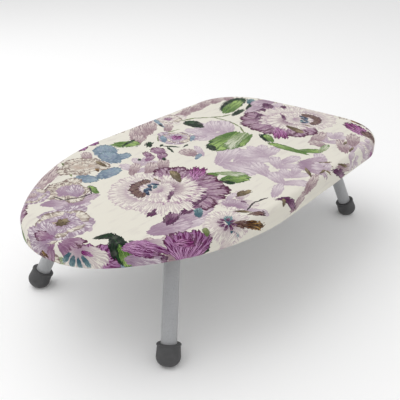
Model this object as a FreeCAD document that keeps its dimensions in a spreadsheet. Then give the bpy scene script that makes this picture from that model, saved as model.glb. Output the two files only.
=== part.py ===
import FreeCAD, Part
import math
import os

from Sketcher import Constraint

# Tabletop ironing board: a vented steel deck with a padded, elasticated cover,
# standing on two bent-tube leg frames that fold flat under the deck.
# Millimetres, +Z up, the nose towards -X, the square tail towards +X.
# The origin is on the floor, under the middle of the board.

doc = FreeCAD.newDocument("ironing_board")
sheet = doc.addObject("Spreadsheet::Sheet", "sizes")

SIZES = [
    # plan outline of the covered board
    ("board_length", 600.0),
    ("board_width", 350.0),
    ("nose_radius", 112.0),
    ("straight_start_x", -40.0),
    ("tail_corner_radius", 94.0),
    ("tail_bow_radius", 1350.0),
    # heights above the floor
    ("board_top_z", 166.0),
    ("board_bottom_z", 137.0),
    ("pivot_z", 139.0),
    # cover
    ("cover_wall", 1.2),
    ("top_edge_radius", 11.0),
    ("bottom_edge_radius", 4.5),
    ("hem_outer_inset", 18.0),
    ("hem_inner_inset", 23.2),
    ("hem_rise", 5.4),
    ("elastic_width", 2.6),
    ("soft_gap", 0.3),
    # foam pad
    ("foam_depth", 6.5),
    ("foam_skirt", 5.1),
    ("foam_skirt_z", 143.5),
    # deck and rim
    ("deck_sheet", 0.8),
    ("deck_inset", 6.9),
    ("vent_radius", 5.5),
    ("vent_pitch", 24.0),
    ("vent_margin", 26.0),
    ("rim_sheet", 1.0),
    ("rim_flange", 11.0),
    ("rim_lip", 7.0),
    ("rim_bottom_z", 139.5),
    # cross channels
    ("channel_sheet", 1.0),
    ("channel_depth", 7.0),
    ("channel_half_web", 28.0),
    ("channel_half_width", 38.0),
    ("channel_half_length", 107.0),
    # leg frames
    ("tube_radius", 10.0),
    ("tube_wall", 1.2),
    ("bend_radius", 35.0),
    ("crossbar_half", 88.5),
    ("splay_angle", 15.6),
    ("front_foot_x", -232.0),
    ("front_tilt", 24.0),
    ("rear_foot_x", 264.0),
    ("rear_tilt", 17.0),
    # pivots
    ("bush_clearance", 0.06),
    ("bush_radius", 12.0),
    ("bush_collar", 1.2),
    ("bush_mouth", 18.0),
    ("saddle_place", 45.0),
    ("saddle_width", 18.0),
    ("saddle_sheet", 1.5),
    ("saddle_half_span", 26.0),
    # leg stops
    ("stop_place", 88.0),
    ("stop_width", 16.0),
    ("stop_gap", 0.3),
    ("stop_reach", 22.0),
    ("stop_rivet_setback", 7.0),
    # rivets
    ("rivet_radius", 2.0),
    ("rivet_head_radius", 3.6),
    ("rivet_head_depth", 1.2),
    # feet
    ("foot_radius", 15.5),
    ("foot_height", 28.0),
    ("foot_corner_radius", 12.0),
    ("foot_sole_drop", 0.5),
    ("foot_lip", 0.9),
    ("foot_floor", 9.0),
    ("socket_clearance", 0.05),
    ("tube_end_gap", 0.5),
    # how far a cutting tool reaches past what it cuts
    ("cut_past", 1.0),
]

# Heights closer than this are taken to be the same.
SAME_LEVEL = 0.01

for row, (name, value) in enumerate(SIZES, start=1):
    sheet.set("A%d" % row, name)
    sheet.set("B%d" % row, str(value))
    sheet.setAlias("B%d" % row, name)
doc.recompute()


def size(name):
    return float(sheet.get(name))


def cell(name):
    return "sizes." + name


def vector(x, y, z):
    return FreeCAD.Vector(x, y, z)


# ---------------------------------------------------------------- plan outline

def plan(name, inset):
    """The board's plan, moved inwards by an expression's value.

    A nose arc, two long side arcs, two straights, two corners and a bowed tail edge,
    each tangent to the next, so an inset only changes the radii and the half width.
    """
    step = sheet.evalExpression(inset)
    half_length = size("board_length") / 2
    half_width = size("board_width") / 2 - step
    nose = size("nose_radius") - step
    corner = size("tail_corner_radius") - step
    bow = size("tail_bow_radius") - step
    start_x = size("straight_start_x")
    nose_x = size("nose_radius") - half_length
    bow_x = half_length - size("tail_bow_radius")

    # The side arc is tangent to the straight at its start and to the nose arc.
    run = start_x - nose_x
    side = (run ** 2 + half_width ** 2 - nose ** 2) / (2 * (half_width - nose))
    side_y = half_width - side
    nose_angle = math.atan2(-side_y, nose_x - start_x)
    corner_y = half_width - corner
    corner_x = bow_x + math.sqrt((bow - corner) ** 2 - corner_y ** 2)
    tail_angle = math.atan2(corner_y, corner_x - bow_x)

    def arc(centre_x, centre_y, radius, first, last):
        circle = Part.Circle(vector(centre_x, centre_y, 0), vector(0, 0, 1), radius)
        return Part.ArcOfCircle(circle, first, last)

    sketch = doc.addObject("Sketcher::SketchObject", name + "_plan")
    quarter = math.pi / 2
    turn = 2 * math.pi
    sketch.addGeometry([
        arc(bow_x, 0, bow, -tail_angle, tail_angle),
        arc(corner_x, corner_y, corner, tail_angle, quarter),
        Part.LineSegment(vector(corner_x, half_width, 0), vector(start_x, half_width, 0)),
        arc(start_x, side_y, side, quarter, nose_angle),
        arc(nose_x, 0, nose, nose_angle, turn - nose_angle),
        arc(start_x, -side_y, side, turn - nose_angle, turn - quarter),
        Part.LineSegment(vector(start_x, -half_width, 0), vector(corner_x, -half_width, 0)),
        arc(corner_x, -corner_y, corner, -quarter, -tail_angle),
    ], False)
    # Edge numbers, in the order that the list above adds them.
    tail_edge, left_corner, left_straight = 0, 1, 2
    nose_end = 4
    right_straight, right_corner = 6, 7
    count = sketch.GeometryCount
    for index in range(count):
        sketch.addConstraint(Constraint("Tangent", index, 2, (index + 1) % count, 1))
    for straight in (left_straight, right_straight):
        sketch.addConstraint(Constraint("Horizontal", straight))
    for centred in (tail_edge, nose_end):
        sketch.addConstraint(Constraint("PointOnObject", centred, 3, -1))

    def driven(label, expression, kind, *where):
        number = sketch.addConstraint(Constraint(kind, *where))
        sketch.renameConstraint(number, label)
        sketch.setExpression("Constraints." + label, expression)

    inwards = " - (%s)" % inset
    half = cell("board_width") + " / 2" + inwards
    driven("bow", cell("tail_bow_radius") + inwards, "Radius", tail_edge, bow)
    driven("corner_left", cell("tail_corner_radius") + inwards, "Radius", left_corner, corner)
    driven("corner_right", cell("tail_corner_radius") + inwards, "Radius", right_corner, corner)
    driven("nose", cell("nose_radius") + inwards, "Radius", nose_end, nose)
    driven("nose_place", cell("nose_radius") + " - " + cell("board_length") + " / 2",
           "DistanceX", -1, 1, nose_end, 3, nose_x)
    driven("bow_place", cell("board_length") + " / 2 - " + cell("tail_bow_radius"),
           "DistanceX", -1, 1, tail_edge, 3, bow_x)
    driven("half_left", half, "DistanceY", -1, 1, left_straight, 1, half_width)
    driven("half_right", half, "DistanceY", right_straight, 1, -1, 1, half_width)
    driven("start_left", cell("straight_start_x"), "DistanceX", -1, 1, left_straight, 2, start_x)
    driven("start_right", cell("straight_start_x"), "DistanceX", -1, 1, right_straight, 1, start_x)
    return sketch


def slab(name, inset, low, high):
    """An upright solid on the inset outline, between two heights."""
    solid = doc.addObject("Part::Extrusion", name)
    solid.Base = plan(name, inset)
    solid.DirMode = "Custom"
    solid.Dir = vector(0, 0, 1)
    solid.Solid = True
    solid.setExpression("LengthFwd", "(%s) - (%s)" % (high, low))
    solid.setExpression("Placement.Base.z", low)
    return solid


def cut(name, base, tool):
    result = doc.addObject("Part::Cut", name)
    result.Base = base
    result.Tool = tool
    return result


def fuse(name, shapes):
    result = doc.addObject("Part::MultiFuse", name)
    result.Shapes = shapes
    result.Refine = True
    return result


def ring(name, outer, inner, low, high):
    """A closed band that follows the outline, between two insets and two heights."""
    return cut(name, slab(name + "_outer", outer, low, high), slab(name + "_inner", inner, low, high))


def round_level(name, base, rounds):
    """Fillet every edge that lies level at each given height."""
    doc.recompute()
    picked = []
    for number, edge in enumerate(base.Shape.Edges, start=1):
        box = edge.BoundBox
        for height, radius in rounds:
            if abs(box.ZMin - height) < SAME_LEVEL and abs(box.ZMax - height) < SAME_LEVEL:
                picked.append((number, radius, radius))
    result = doc.addObject("Part::Fillet", name)
    result.Base = base
    result.Edges = picked
    return result


# ----------------------------------------------------------------------- cover

def make_cover():
    """A fitted shell: top, rolled edge, side, and a turned-in hem that holds the elastic."""
    wall = size("cover_wall")
    top = size("board_top_z")
    bottom = size("board_bottom_z")
    outer = round_level(
        "cover_outer",
        slab("cover_outer_block", "0", cell("board_bottom_z"), cell("board_top_z")),
        [(top, size("top_edge_radius")), (bottom, size("bottom_edge_radius"))],
    )
    inner_low = cell("board_bottom_z") + " + " + cell("cover_wall")
    inner_high = cell("board_top_z") + " - " + cell("cover_wall")
    inner = round_level(
        "cover_inner",
        slab("cover_inner_block", cell("cover_wall"), inner_low, inner_high),
        [(top - wall, size("top_edge_radius") - wall), (bottom + wall, size("bottom_edge_radius") - wall)],
    )
    shell = cut("cover_shell", outer, inner)
    hem_top = cell("board_bottom_z") + " + " + cell("hem_rise")
    mouth = slab("cover_mouth", cell("hem_inner_inset"), cell("board_bottom_z") + " - " + cell("cut_past"),
                 hem_top)
    skin = cut("cover_skin", shell, mouth)
    wall_inset = cell("hem_inner_inset") + " - " + cell("cover_wall")
    hem_wall = ring("hem_wall", wall_inset, cell("hem_inner_inset"), cell("board_bottom_z"), hem_top)
    hem_fold = ring("hem_fold", cell("hem_outer_inset"), cell("hem_inner_inset"),
                    hem_top + " - " + cell("cover_wall"), hem_top)
    return fuse("cover", [skin, hem_wall, hem_fold])


def make_hem_elastic():
    """A flat elastic band, a closed loop lying in the folded hem."""
    inner = "%s - %s - %s" % (cell("hem_inner_inset"), cell("cover_wall"), cell("soft_gap"))
    outer = "%s - %s" % (inner, cell("elastic_width"))
    low = "%s + %s + %s / 2" % (cell("board_bottom_z"), cell("cover_wall"), cell("soft_gap"))
    high = "%s + %s - %s - %s / 2" % (cell("board_bottom_z"), cell("hem_rise"), cell("cover_wall"),
                                      cell("soft_gap"))
    return ring("hem_elastic", outer, inner, low, high)


def make_foam_pad():
    """Foam over the deck, with a thinner skirt that softens the rim's edge."""
    side = cell("cover_wall") + " + " + cell("soft_gap")
    top = "%s - %s - %s" % (cell("board_top_z"), cell("cover_wall"), cell("soft_gap"))
    outer = round_level(
        "foam_outer",
        slab("foam_outer_block", side, cell("foam_skirt_z"), top),
        [(size("board_top_z") - size("cover_wall") - size("soft_gap"),
          size("top_edge_radius") - size("cover_wall") - size("soft_gap"))],
    )
    hollow = slab("foam_hollow", side + " + " + cell("foam_skirt"),
                  cell("foam_skirt_z") + " - " + cell("cut_past"), top + " - " + cell("foam_depth"))
    return cut("foam_pad", outer, hollow)


# -------------------------------------------------------------- deck and frame

DECK_TOP = "(%s - %s - %s - %s - %s)" % (
    cell("board_top_z"), cell("cover_wall"), cell("soft_gap"), cell("foam_depth"), cell("soft_gap"))
DECK_UNDER = "(%s - %s)" % (DECK_TOP, cell("deck_sheet"))
deck_under_z = (size("board_top_z") - size("cover_wall") - 2 * size("soft_gap")
                - size("foam_depth") - size("deck_sheet"))
web_under_z = deck_under_z - size("channel_depth")


def make_deck_mesh():
    """A flat steel sheet with a staggered grid of round steam vents."""
    blank = slab("deck_blank", cell("deck_inset"), DECK_UNDER, DECK_TOP)
    field = plan("vent_field", cell("vent_margin"))
    doc.recompute()
    region = Part.Face(field.Shape.Wires[0])
    pitch = size("vent_pitch")
    row_step = pitch * math.sqrt(3) / 2
    rows = int(size("board_width") / 2 / row_step)
    columns = int(size("board_length") / 2 / pitch)
    past = size("cut_past")
    depth = size("deck_sheet") + 2 * past
    drills = []
    for row in range(-rows, rows + 1):
        for column in range(-columns, columns + 1):
            place = vector((column + (row % 2) / 2) * pitch, row * row_step, 0)
            if region.isInside(place, SAME_LEVEL, True):
                start = place + vector(0, 0, deck_under_z - past)
                drills.append(Part.makeCylinder(size("vent_radius"), depth, start))
    tools = doc.addObject("Part::Feature", "vent_drills")
    tools.Shape = Part.makeCompound(drills)
    return cut("deck_mesh", blank, tools)


def make_rim_frame():
    """A folded steel band under the deck's edge: top flange, wall and turned-in lip."""
    inset = cell("deck_inset")
    low = cell("rim_bottom_z")
    wall = ring("rim_wall", inset, inset + " + " + cell("rim_sheet"), low, DECK_UNDER)
    flange = ring("rim_top", inset, inset + " + " + cell("rim_flange"),
                  DECK_UNDER + " - " + cell("rim_sheet"), DECK_UNDER)
    lip = ring("rim_bottom", inset, inset + " + " + cell("rim_lip"), low, low + " + " + cell("rim_sheet"))
    return fuse("rim_frame", [wall, flange, lip])


# ------------------------------------------------------- bodies made of sketches

def origin_plane(body, role):
    return next(item for item in body.Origin.OriginFeatures if item.Role == role)


def add_sketch(body, name, role):
    sketch = body.newObject("Sketcher::SketchObject", name)
    sketch.AttachmentSupport = [(origin_plane(body, role), "")]
    sketch.MapMode = "FlatFace"
    return sketch


def draw_lines(sketch, points):
    """Straight lines through (across, up) points, each joined to the next."""
    for index, (start, finish) in enumerate(zip(points, points[1:])):
        number = sketch.addGeometry(Part.LineSegment(vector(*start, 0), vector(*finish, 0)), False)
        if index > 0:
            sketch.addConstraint(Constraint("Coincident", number - 1, 2, number, 1))


def draw_polygon(sketch, points):
    """A closed run of straight lines through (across, up) points."""
    first = sketch.GeometryCount
    draw_lines(sketch, points + points[:1])
    sketch.addConstraint(Constraint("Coincident", sketch.GeometryCount - 1, 2, first, 1))


def draw_circle(sketch, across, up, radius, name, expression):
    number = sketch.addGeometry(Part.Circle(vector(across, up, 0), vector(0, 0, 1), radius), False)
    bound = sketch.addConstraint(Constraint("Radius", number, radius))
    sketch.renameConstraint(bound, name)
    sketch.setExpression("Constraints." + name, expression)


def extrude(body, kind, name, sketch, length, middle=True, backwards=False):
    feature = body.newObject(kind, name)
    feature.Profile = sketch
    feature.Midplane = middle
    feature.Reversed = backwards
    feature.setExpression("Length", length)
    sketch.Visibility = False
    return feature


def place(body, x, y, z):
    for axis, expression in zip("xyz", (x, y, z)):
        body.setExpression("Placement.Base." + axis, expression)


PIVOT_X = {
    "front": "(%s + %s * tan(%s deg))" % (cell("front_foot_x"), cell("pivot_z"), size("front_tilt")),
    "rear": "(%s - %s * tan(%s deg))" % (cell("rear_foot_x"), cell("pivot_z"), size("rear_tilt")),
}


def pivot_x(end):
    """Where the leg line that starts at the foot crosses the pivot's height."""
    rise = size("pivot_z") * math.tan(math.radians(size(end + "_tilt")))
    return size(end + "_foot_x") + (rise if end == "front" else -rise)


def outward(end):
    """-1 for the nose end and +1 for the tail end: the way that the legs lean."""
    return -1 if end == "front" else 1


def hole_row(end, spots):
    """World (x, y) of each rivet of one channel, from offsets along and across it."""
    return [(pivot_x(end) + across, along) for across, along in spots]


def saddle_holes():
    reach = (size("saddle_half_span") + size("bush_radius") + size("saddle_sheet")) / 2
    spots = []
    for side in (-1, 1):
        for hand in (-1, 1):
            spots.append((side * reach, hand * size("saddle_place")))
    return spots


def stop_holes(end):
    reach = outward(end) * (size("channel_half_web") - size("stop_rivet_setback"))
    return [(reach, -size("stop_place")), (reach, size("stop_place"))]


def make_cross_channel(end):
    """A pressed hat section across the deck's underside, drilled for its rivets."""
    body = doc.addObject("PartDesign::Body", "cross_channel_" + end)
    half_web = size("channel_half_web")
    half_width = size("channel_half_width")
    depth = size("channel_depth")
    sheet_metal = size("channel_sheet")
    section = add_sketch(body, "hat_section_" + end, "XZ_Plane")
    draw_polygon(section, [
        (-half_width, 0), (-half_web + sheet_metal, 0), (-half_web + sheet_metal, sheet_metal - depth),
        (half_web - sheet_metal, sheet_metal - depth), (half_web - sheet_metal, 0), (half_width, 0),
        (half_width, -sheet_metal), (half_web, -sheet_metal), (half_web, -depth), (-half_web, -depth),
        (-half_web, -sheet_metal), (-half_width, -sheet_metal),
    ])
    extrude(body, "PartDesign::Pad", "hat_pad_" + end, section, "2 * " + cell("channel_half_length"))
    drills = add_sketch(body, "rivet_holes_" + end, "XY_Plane")
    for number, (across, along) in enumerate(saddle_holes() + stop_holes(end)):
        draw_circle(drills, across, along, size("rivet_radius"), "hole%02d" % number,
                    cell("rivet_radius") + " + " + cell("socket_clearance"))
    extrude(body, "PartDesign::Pocket", "rivet_pocket_" + end, drills, "4 * " + cell("channel_depth"))
    place(body, PIVOT_X[end], "0", DECK_UNDER)
    return body


def make_pivot_saddle(end, hand, side):
    """A U strap that carries the crossbar's bush under the channel, with a riveted ear each side."""
    name = "pivot_saddle_%s_%s" % (end, hand)
    body = doc.addObject("PartDesign::Body", name)
    top = web_under_z - size("pivot_z")
    metal = size("saddle_sheet")
    inner = size("bush_radius") + size("socket_clearance")
    outer = inner + metal
    span = size("saddle_half_span")

    def belly(radius):
        circle = Part.Circle(vector(0, 0, 0), vector(0, 0, 1), radius)
        return Part.ArcOfCircle(circle, math.pi, 2 * math.pi)

    section = add_sketch(body, name + "_section", "XZ_Plane")
    section.addGeometry([belly(inner), belly(outer)], False)
    draw_lines(section, [(-inner, 0), (-inner, top), (-span, top), (-span, top - metal),
                         (-outer, top - metal), (-outer, 0)])
    draw_lines(section, [(inner, 0), (inner, top), (span, top), (span, top - metal),
                         (outer, top - metal), (outer, 0)])
    for arc, start, finish in ((0, 2, 7), (1, 6, 11)):
        section.addConstraint(Constraint("Coincident", arc, 1, start, 1 if arc == 0 else 2))
        section.addConstraint(Constraint("Coincident", arc, 2, finish, 1 if arc == 0 else 2))
    extrude(body, "PartDesign::Pad", name + "_pad", section, cell("saddle_width"))
    drills = add_sketch(body, name + "_drills", "XY_Plane")
    reach = saddle_holes()[-1][0]
    for number, across in enumerate((-reach, reach)):
        draw_circle(drills, across, 0, size("rivet_radius"), "hole%02d" % number,
                    cell("rivet_radius") + " + " + cell("socket_clearance"))
    extrude(body, "PartDesign::Pocket", name + "_drill_cut", drills, "4 * " + cell("bush_radius"))
    place(body, PIVOT_X[end], "%d * %s" % (side, cell("saddle_place")), cell("pivot_z"))
    return body


def make_pivot_bush(end, hand, side):
    """A snap-on nylon bush, open towards the channel, with a collar each side of the strap."""
    name = "pivot_bush_%s_%s" % (end, hand)
    half = "(%s / 2 + %s + %s)" % (cell("saddle_width"), cell("socket_clearance"), cell("bush_collar"))

    def disc(label, radius, low, length):
        part = doc.addObject("Part::Cylinder", name + label)
        part.setExpression("Radius", radius)
        part.setExpression("Height", length)
        part.Placement.Rotation = FreeCAD.Rotation(vector(1, 0, 0), -90)
        place(part, PIVOT_X[end], "%d * %s + %s" % (side, cell("saddle_place"), low), cell("pivot_z"))
        return part

    collar_radius = cell("bush_radius") + " + " + cell("saddle_sheet")
    barrel = disc("_barrel", cell("bush_radius"), "-" + half, "2 * " + half)
    near = disc("_near_collar", collar_radius, "-" + half, cell("bush_collar"))
    far = disc("_far_collar", collar_radius, half + " - " + cell("bush_collar"), cell("bush_collar"))
    past_half = "(%s + %s)" % (half, cell("cut_past"))
    bore = disc("_bore", cell("tube_radius") + " + " + cell("bush_clearance"), "-" + past_half,
                "2 * " + past_half)
    split = doc.addObject("Part::Box", name + "_split")
    split.setExpression("Length", cell("bush_mouth"))
    split.setExpression("Width", "2 * " + past_half)
    split.setExpression("Height", "2 * " + cell("bush_radius"))
    place(split, PIVOT_X[end] + " - " + cell("bush_mouth") + " / 2",
          "%d * %s - %s" % (side, cell("saddle_place"), past_half), cell("pivot_z"))
    return cut(name, fuse(name + "_solid", [barrel, near, far]), fuse(name + "_hollow", [bore, split]))


def make_leg_stop(end, hand, side):
    """A bent tab that the opened leg bears on, leaning with the leg."""
    name = "leg_stop_%s_%s" % (end, hand)
    body = doc.addObject("PartDesign::Body", name)
    lean = math.radians(size(end + "_tilt"))
    metal = size("saddle_sheet")
    face = size("tube_radius") + size("stop_gap")
    top = web_under_z - size("pivot_z")
    way = outward(end)

    def leaning(along, off):
        """A point by its distance down the leg line and its distance outwards from it."""
        return (way * (along * math.sin(lean) + off * math.cos(lean)),
                off * math.sin(lean) - along * math.cos(lean))

    def along_at(height, off):
        return (off * math.sin(lean) - height) / math.cos(lean)

    far = face + metal
    toe = way * size("channel_half_web")
    section = add_sketch(body, name + "_section", "XZ_Plane")
    draw_polygon(section, [
        leaning(along_at(top, face), face), leaning(size("stop_reach"), face),
        leaning(size("stop_reach"), far), leaning(along_at(top - metal, far), far),
        (toe, top - metal), (toe, top),
    ])
    extrude(body, "PartDesign::Pad", name + "_pad", section, cell("stop_width"))
    drill = add_sketch(body, name + "_drill", "XY_Plane")
    draw_circle(drill, stop_holes(end)[0][0], 0, size("rivet_radius"), "hole",
                cell("rivet_radius") + " + " + cell("socket_clearance"))
    extrude(body, "PartDesign::Pocket", name + "_drill_cut", drill, "4 * " + cell("bush_radius"))
    place(body, PIVOT_X[end], "%d * %s" % (side, cell("stop_place")), cell("pivot_z"))
    return body


def make_rivets(name, spots):
    """Flat-headed rivets through a bracket's ear and the channel's web, one solid each."""
    grip_low = web_under_z - size("saddle_sheet")
    grip_high = web_under_z + size("channel_sheet")
    head = size("rivet_head_depth")
    solids = []
    for x, y in spots:
        low_head = Part.makeCylinder(size("rivet_head_radius"), head, vector(x, y, grip_low - head))
        shank = Part.makeCylinder(size("rivet_radius"), grip_high - grip_low, vector(x, y, grip_low))
        high_head = Part.makeCylinder(size("rivet_head_radius"), head, vector(x, y, grip_high))
        solids.append(low_head.multiFuse([shank, high_head]).removeSplitter())
    group = doc.addObject("Part::Feature", name)
    group.Shape = Part.makeCompound(solids)
    return group


# ------------------------------------------------------------------- leg frames

def leg_run(end):
    """Length of the leg line inside its own plane, from the crossbar's height to the floor."""
    return size("pivot_z") / math.cos(math.radians(size(end + "_tilt")))


def make_leg_frame(end):
    """One steel tube bent to a splayed U: half is swept and the other half mirrored."""
    name = end + "_leg_frame"
    body = doc.addObject("PartDesign::Body", name)
    splay = math.radians(size("splay_angle"))
    bend = size("bend_radius")
    corner_y = size("crossbar_half")
    setback = bend * math.tan((math.pi / 2 - splay) / 2)
    floor_y = corner_y + leg_run(end) * math.tan(splay)
    tube_end = size("foot_floor") + size("tube_end_gap")
    end_y = floor_y - tube_end * math.sin(splay)
    end_z = -leg_run(end) + tube_end * math.cos(splay)
    centre_y = corner_y - setback

    path = add_sketch(body, name + "_path", "YZ_Plane")
    bend_circle = Part.Circle(vector(centre_y, -bend, 0), vector(0, 0, 1), bend)
    path.addGeometry([
        Part.LineSegment(vector(0, 0, 0), vector(centre_y, 0, 0)),
        Part.ArcOfCircle(bend_circle, splay, math.pi / 2),
        Part.LineSegment(vector(centre_y + bend * math.cos(splay), bend * (math.sin(splay) - 1), 0),
                         vector(end_y, end_z, 0)),
    ], False)
    path.addConstraint(Constraint("Tangent", 0, 2, 1, 2))
    path.addConstraint(Constraint("Tangent", 1, 1, 2, 1))
    profile = add_sketch(body, name + "_profile", "XZ_Plane")
    outer = size("tube_radius")
    draw_circle(profile, 0, 0, outer, "outside", cell("tube_radius"))
    draw_circle(profile, 0, 0, outer - size("tube_wall"), "inside",
                cell("tube_radius") + " - " + cell("tube_wall"))
    doc.recompute()
    pipe = body.newObject("PartDesign::AdditivePipe", name + "_sweep")
    pipe.Profile = profile
    pipe.Spine = path
    doc.recompute()
    mirrored = body.newObject("PartDesign::Mirrored", name + "_mirror")
    mirrored.Originals = [pipe]
    mirrored.MirrorPlane = (origin_plane(body, "XZ_Plane"), [""])
    body.Tip = mirrored
    body.Placement.Rotation = FreeCAD.Rotation(vector(0, 1, 0), -outward(end) * size(end + "_tilt"))
    place(body, PIVOT_X[end], "0", cell("pivot_z"))
    length = 2 * (centre_y + bend * (math.pi / 2 - splay)
                  + math.hypot(end_y - centre_y - bend * math.cos(splay),
                               end_z - bend * (math.sin(splay) - 1)))
    return body, length


def make_foot(end, hand, side):
    """A moulded rubber cup pressed on the tube's end, its tread cut level with the floor."""
    name = "foot_%s_%s" % (end, hand)
    body = doc.addObject("PartDesign::Body", name + "_cup")
    radius = size("foot_radius")
    corner = size("foot_corner_radius")
    low = -size("foot_sole_drop")
    high = low + size("foot_height")
    socket = size("tube_radius") + size("socket_clearance")
    lip = size("foot_lip")
    floor = size("foot_floor")
    half = add_sketch(body, name + "_half", "XZ_Plane")
    corner_circle = Part.Circle(vector(radius - corner, low + corner, 0), vector(0, 0, 1), corner)
    edges = [Part.ArcOfCircle(corner_circle, 1.5 * math.pi, 2 * math.pi)]
    points = [
        (radius, low + corner), (radius - lip, high - 3 * lip), (radius, high - 2 * lip),
        (radius, high - lip), (radius - lip, high), (socket, high), (socket, floor), (0, floor),
        (0, low), (radius - corner, low),
    ]
    for start, finish in zip(points, points[1:]):
        edges.append(Part.LineSegment(vector(*start, 0), vector(*finish, 0)))
    half.addGeometry(edges, False)
    turned = body.newObject("PartDesign::Revolution", name + "_turned")
    turned.Profile = half
    turned.ReferenceAxis = (half, ["V_Axis"])
    turned.Angle = 360.0
    tilt = FreeCAD.Rotation(vector(0, 1, 0), -outward(end) * size(end + "_tilt"))
    splay = FreeCAD.Rotation(vector(1, 0, 0), side * size("splay_angle"))
    floor_y = size("crossbar_half") + leg_run(end) * math.tan(math.radians(size("splay_angle")))
    body.Placement = FreeCAD.Placement(vector(size(end + "_foot_x"), side * floor_y, 0), tilt * splay)
    ground = doc.addObject("Part::Box", name + "_ground")
    span = 4 * radius
    ground.Length = span
    ground.Width = span
    ground.Height = span
    ground.Placement.Base = vector(size(end + "_foot_x") - span / 2, side * floor_y - span / 2, -span)
    return cut(name, body, ground)


# --------------------------------------------------------------------- assembly

HANDS = (("left", -1), ("right", 1))
nodes = [make_cover(), make_hem_elastic(), make_foam_pad(), make_deck_mesh(), make_rim_frame()]
tube_lengths = {}
for end in ("front", "rear"):
    nodes.append(make_cross_channel(end))
    for hand, side in HANDS:
        nodes.append(make_pivot_saddle(end, hand, side))
        nodes.append(make_pivot_bush(end, hand, side))
        nodes.append(make_leg_stop(end, hand, side))
        nodes.append(make_foot(end, hand, side))
    nodes.append(make_rivets("saddle_rivets_" + end, hole_row(end, saddle_holes())))
    nodes.append(make_rivets("stop_rivets_" + end, hole_row(end, stop_holes(end))))
    leg_frame, tube_length = make_leg_frame(end)
    tube_lengths[leg_frame.Name] = tube_length
    nodes.append(leg_frame)
doc.recompute()

# ----------------------------------------------------------------------- checks

for item in doc.Objects:
    if "Invalid" in item.State or "Error" in item.State:
        raise RuntimeError("failed object: %s %s" % (item.Name, item.State))
for node in nodes:
    if node.Shape.isNull() or not node.Shape.isValid():
        raise RuntimeError("bad shape: " + node.Name)

# A swept tube's volume has to match its section times its length to this share.
VOLUME_TOLERANCE = 0.01
tube_section = math.pi * (size("tube_radius") ** 2 - (size("tube_radius") - size("tube_wall")) ** 2)
for node in nodes:
    if node.Name in tube_lengths:
        expected = tube_section * tube_lengths[node.Name]
        if abs(node.Shape.Volume / expected - 1) > VOLUME_TOLERANCE:
            raise RuntimeError("tube volume is wrong: " + node.Name)

os.makedirs("parts", exist_ok=True)
for node in nodes:
    node.Label = node.Name
    node.Shape.exportStep("parts/%s.step" % node.Name)
    print("%-28s solids %2d  volume %10.1f" % (node.Label, len(node.Shape.Solids), node.Shape.Volume))
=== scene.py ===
import math

import bmesh
import bpy
import numpy as np
from mathutils import Euler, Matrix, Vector


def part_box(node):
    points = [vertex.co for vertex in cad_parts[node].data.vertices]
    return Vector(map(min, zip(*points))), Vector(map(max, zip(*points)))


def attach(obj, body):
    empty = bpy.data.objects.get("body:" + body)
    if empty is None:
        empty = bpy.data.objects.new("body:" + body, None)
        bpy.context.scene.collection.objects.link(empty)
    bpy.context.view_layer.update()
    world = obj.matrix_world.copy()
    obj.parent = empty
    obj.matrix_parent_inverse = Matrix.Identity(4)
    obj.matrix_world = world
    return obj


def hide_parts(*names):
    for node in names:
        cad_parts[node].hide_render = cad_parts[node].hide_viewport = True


# Looks of a tabletop ironing board: a printed, elasticated cover over foam, on a painted
# steel deck with two folding leg frames. Lengths are metres unless a name says otherwise.
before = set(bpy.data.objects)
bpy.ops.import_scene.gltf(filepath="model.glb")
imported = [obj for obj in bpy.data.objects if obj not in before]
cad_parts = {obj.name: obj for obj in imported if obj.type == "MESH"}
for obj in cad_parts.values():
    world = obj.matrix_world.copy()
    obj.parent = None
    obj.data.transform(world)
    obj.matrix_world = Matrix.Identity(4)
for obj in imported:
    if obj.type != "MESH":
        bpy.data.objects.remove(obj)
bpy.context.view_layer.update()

# The plan's driving sizes, the same as the design's.
BOARD_LENGTH = 0.600
BOARD_WIDTH = 0.350
NOSE_RADIUS = 0.112
STRAIGHT_START_X = -0.040
TAIL_CORNER_RADIUS = 0.094
TAIL_BOW_RADIUS = 1.350
TOP_EDGE_RADIUS = 0.011
BOTTOM_EDGE_RADIUS = 0.0045
FOAM_SKIRT = 0.0051

# The cover's sewing. The hem is a roll that holds the elastic, and the gathers are waves round it.
CLOTH_THICKNESS = 0.0006
HEM_INSET = 0.0206
HEM_RADIUS = 0.0024
HEM_LIFT = 0.0004
GATHERS = (149, 119, 83)
GATHER_DEPTH = 0.0006
GATHER_LIFT = 0.0009
DRAPE = (31, 23, 13)
TOP_SINK = 0.0003

# Fine detail of the cloth, in millimetres.
THREAD = 0.5
STITCH = 3.0
STITCH_INSET = 16.8

# The blooms that go round the edge, and how far down the cloth they are.
EDGE_BLOOMS = 22
EDGE_BLOOM_RUN = 0.028

# The cloth meshes: columns round the board, and the middle line that their top rings shrink to.
COLUMNS = 800
SPINE = (-0.170, 0.180)

ENDS = ("front", "rear")
HANDS = ("left", "right")

cover_low, cover_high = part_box("cover")
TOP_Z = cover_high.z
BOTTOM_Z = cover_low.z
HEM_Z = BOTTOM_Z + HEM_RADIUS + HEM_LIFT


# ------------------------------------------------------------------ camera and stage

def add_camera():
    """The photograph's view: its angles, its distance and its field of view."""
    azimuth = math.radians(-50.99)
    elevation = math.radians(27.64)
    distance = 0.8206
    target = Vector((-0.0386, -0.0245, 0.1143))
    back = Vector((math.sin(azimuth) * math.cos(elevation),
                   -math.cos(azimuth) * math.cos(elevation),
                   math.sin(elevation)))
    data = bpy.data.cameras.new("camera")
    data.sensor_width = 36.0
    data.lens = 50.2
    data.clip_start = 0.01
    camera = bpy.data.objects.new("camera", data)
    camera.location = target + back * distance
    camera.rotation_euler = Euler((math.pi / 2 - elevation, 0.0, azimuth))
    bpy.context.scene.collection.objects.link(camera)
    bpy.context.scene.camera = camera


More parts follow.
